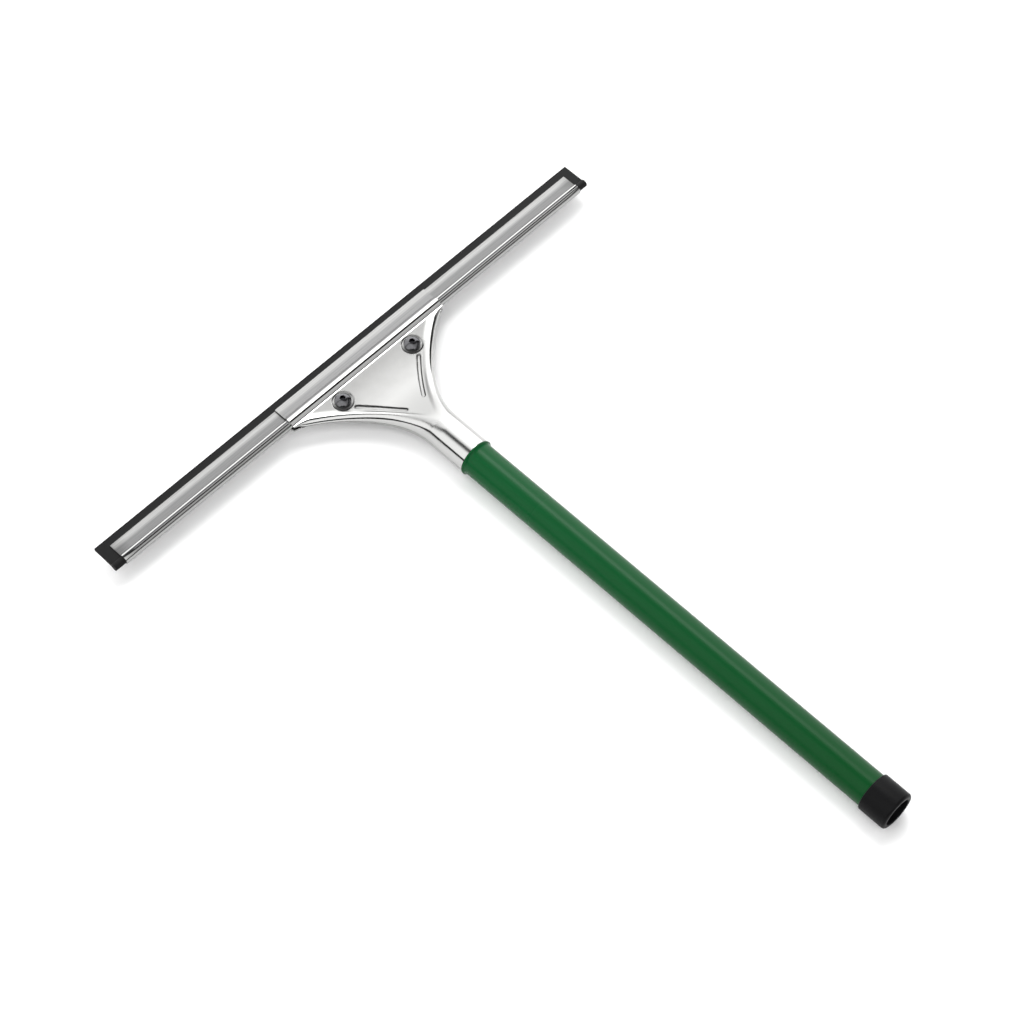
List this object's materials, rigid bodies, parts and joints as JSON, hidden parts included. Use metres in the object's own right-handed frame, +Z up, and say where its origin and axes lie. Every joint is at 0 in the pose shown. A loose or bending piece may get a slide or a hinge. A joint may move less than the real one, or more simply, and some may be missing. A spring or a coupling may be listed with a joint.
{
  "type": "window squeegee",
  "caption": "Window squeegee: rubber blade in a sliding steel channel, clamped between two pressed plates on a straight sleeved handle with an open end cap.",
  "frame": {"origin": "middle of the footprint, on the surface the squeegee lies on", "axes": "+Y from the handle towards the rubber's working edge, +X along the blade, +Z up from the surface"},
  "size_m": [0.3632, 0.4072, 0.0226],
  "materials": {
    "black_rubber": "matt natural rubber",
    "brushed_channel_steel": "stainless steel brushed along its length",
    "satin_plate_steel": "pressed stainless steel, satin on the web and polished on the neck",
    "dark_screw_steel": "dark smooth steel",
    "nut_steel": "bright steel",
    "tube_steel": "plain drawn steel",
    "green_sleeve_plastic": "semi-gloss soft plastic skin",
    "black_cap_plastic": "moulded, slightly satin"
  },
  "bodies": {
    "handle": {"upper_clamp_plate": "satin_plate_steel", "lower_clamp_plate": "satin_plate_steel", "flat_washer_left": "nut_steel", "flat_washer_right": "nut_steel", "dome_nut_left": "nut_steel", "dome_nut_right": "nut_steel", "handle_tube": "tube_steel", "grip_sleeve": "green_sleeve_plastic", "end_cap": "black_cap_plastic"},
    "channel": {"blade_channel": "brushed_channel_steel"},
    "rubber": {"rubber_blade": "black_rubber"},
    "left_lock_washer": {"spring_washer_left": "dark_screw_steel"},
    "left_screw": {"clamp_screw_left": "dark_screw_steel"},
    "right_lock_washer": {"spring_washer_right": "dark_screw_steel"},
    "right_screw": {"clamp_screw_right": "dark_screw_steel"}
  },
  "joints": [
    {"name": "channel_slide", "type": "slide", "parent": "handle", "child": "channel", "axis": [1, 0, 0], "range_m": [-0.1144, 0.1206]},
    {"name": "rubber_slide", "type": "slide", "parent": "channel", "child": "rubber", "axis": [1, 0, 0], "range_m": [-0.15, 0.15]},
    {"name": "left_screw_lift", "type": "slide", "parent": "handle", "child": "left_lock_washer", "axis": [0, 0, 1], "range_m": [0, 0.0048]},
    {"name": "left_screw_turn", "type": "hinge", "parent": "left_lock_washer", "child": "left_screw", "pos_m": [-0.02325, 0.1764, 0.0113], "axis": [0, 0, 1], "range_deg": [0, 2160]},
    {"name": "right_screw_lift", "type": "slide", "parent": "handle", "child": "right_lock_washer", "axis": [0, 0, 1], "range_m": [0, 0.0048]},
    {"name": "right_screw_turn", "type": "hinge", "parent": "right_lock_washer", "child": "right_screw", "pos_m": [0.03025, 0.1764, 0.0113], "axis": [0, 0, 1], "range_deg": [0, 2160]}
  ],
  "couplings": [
    {"joint": "left_screw_turn", "follows": "left_screw_lift", "rad_per_m": 7854},
    {"joint": "right_screw_turn", "follows": "right_screw_lift", "rad_per_m": 7854}
  ]
}
